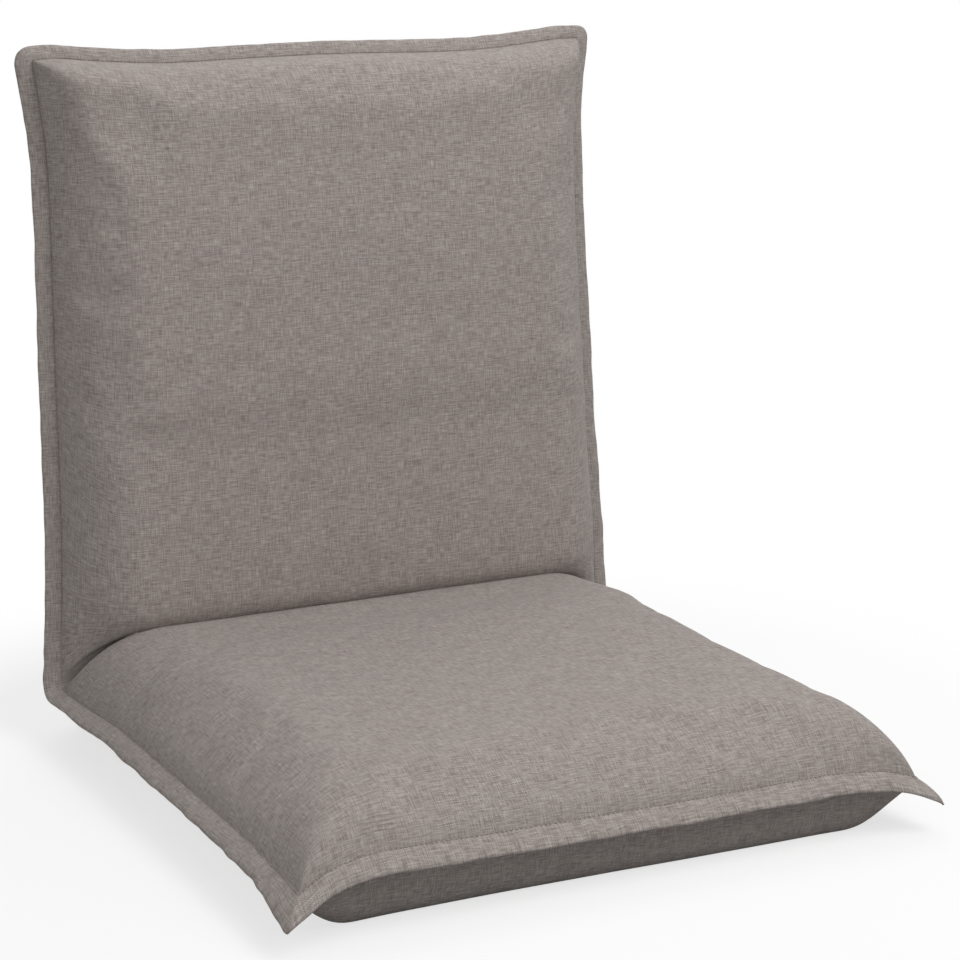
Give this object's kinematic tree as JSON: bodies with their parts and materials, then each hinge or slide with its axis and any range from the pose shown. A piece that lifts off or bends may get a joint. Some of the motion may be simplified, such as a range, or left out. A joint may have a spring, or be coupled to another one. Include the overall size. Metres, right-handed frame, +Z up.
{
  "type": "folding floor chair",
  "caption": "Legless padded floor chair: a flanged fabric seat cushion with a padded back that steps down flat and folds forward on to the seat by ratchet hinges in the crease.",
  "frame": {"origin": "on the floor, in the middle of the flat underside of the seat", "axes": "+Z up, the chair faces -Y, X runs across along the hinge axis"},
  "size_m": [0.49, 0.5426, 0.5158],
  "materials": {
    "cover_fabric": "melange plain weave, matt",
    "foam": "open-cell polyurethane foam",
    "painted_tube": "black powder coat on steel tube",
    "hinge_steel": "zinc plated pressed steel",
    "spring_steel": "hardened steel",
    "zip_nylon": "nylon coil",
    "zip_metal": "painted die casting"
  },
  "bodies": {
    "seat": {"axle_rivet_left": "hinge_steel", "axle_rivet_right": "hinge_steel", "cover_crease_rear": "cover_fabric", "hinge_inner_plate_left": "hinge_steel", "hinge_inner_plate_right": "hinge_steel", "hinge_outer_plate_left": "hinge_steel", "hinge_outer_plate_right": "hinge_steel", "pawl_pin_left": "spring_steel", "pawl_pin_right": "spring_steel", "pawl_spring_left": "spring_steel", "pawl_spring_right": "spring_steel", "seat_arm_rivets": "hinge_steel", "seat_cover_base": "cover_fabric", "seat_cover_heel": "cover_fabric", "seat_cover_top": "cover_fabric", "seat_cross_tube_front": "painted_tube", "seat_cross_tube_rear": "painted_tube", "seat_foam_base": "foam", "seat_foam_heel": "foam", "seat_foam_top": "foam", "seat_frame_tube": "painted_tube"},
    "back": {"back_arm_rivets": "hinge_steel", "back_cover_front": "cover_fabric", "back_cover_heel": "cover_fabric", "back_cover_rear": "cover_fabric", "back_cross_tube_high": "painted_tube", "back_cross_tube_low": "painted_tube", "back_foam_front": "foam", "back_foam_heel": "foam", "back_foam_rear": "foam", "back_frame_tube": "painted_tube", "gear_plate_left": "hinge_steel", "gear_plate_right": "hinge_steel", "zip_chain": "zip_nylon"},
    "pawl_left": {"pawl_left": "spring_steel"},
    "pawl_right": {"pawl_right": "spring_steel"},
    "zip_slider": {"zip_slider": "zip_metal"},
    "zip_pull": {"zip_pull": "zip_metal"}
  },
  "joints": [
    {"name": "back_fold", "type": "hinge", "parent": "seat", "child": "back", "pos_m": [0, 0.235, 0.036], "axis": [1, 0, 0], "range_deg": [-85, 70], "deforming": ["seat_cover_heel", "back_cover_heel", "seat_foam_heel", "back_foam_heel", "cover_crease_rear"]},
    {"name": "pawl_left_swing", "type": "hinge", "parent": "seat", "child": "pawl_left", "pos_m": [-0.2, 0.21198, 0.02736], "axis": [1, 0, 0], "range_deg": [0, 11.5], "deforming": ["pawl_spring_left"]},
    {"name": "pawl_right_swing", "type": "hinge", "parent": "seat", "child": "pawl_right", "pos_m": [0.2, 0.21198, 0.02736], "axis": [1, 0, 0], "range_deg": [0, 11.5], "deforming": ["pawl_spring_right"]},
    {"name": "zip_slide", "type": "slide", "parent": "back", "child": "zip_slider", "axis": [1, 0, 0], "range_m": [0, 0.2804]},
    {"name": "zip_pull_swing", "type": "hinge", "parent": "zip_slider", "child": "zip_pull", "pos_m": [-0.1402, 0.281, 0.11027], "axis": [0, -0.0872, -0.9962], "range_deg": [0, 170]}
  ],
  "couplings": [
    {"joint": "pawl_right_swing", "follows": "pawl_left_swing", "ratio": 1}
  ]
}
